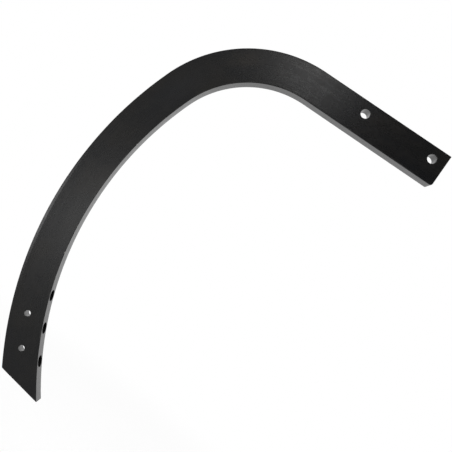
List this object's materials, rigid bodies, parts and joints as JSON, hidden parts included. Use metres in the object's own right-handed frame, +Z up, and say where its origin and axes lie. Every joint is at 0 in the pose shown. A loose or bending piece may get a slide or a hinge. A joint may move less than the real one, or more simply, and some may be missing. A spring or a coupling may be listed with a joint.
{
  "type": "tillage shank",
  "caption": "Flat steel bar bent edgewise into a deep C, bolted to a frame by its straight upper leg and drilled at its foot for a ground-working point.",
  "frame": {"origin": "midway between the two frame bolts, at the middle of the bar's thickness", "axes": "+X forward along the level mounting leg, away from the bend; +Z up; Y across the bar's thickness"},
  "size_m": [0.6497, 0.0318, 0.9333],
  "materials": {
    "black_paint": "satin black paint over hot-rolled steel"
  },
  "bodies": {
    "root": {"shank": "black_paint"}
  },
  "joints": []
}
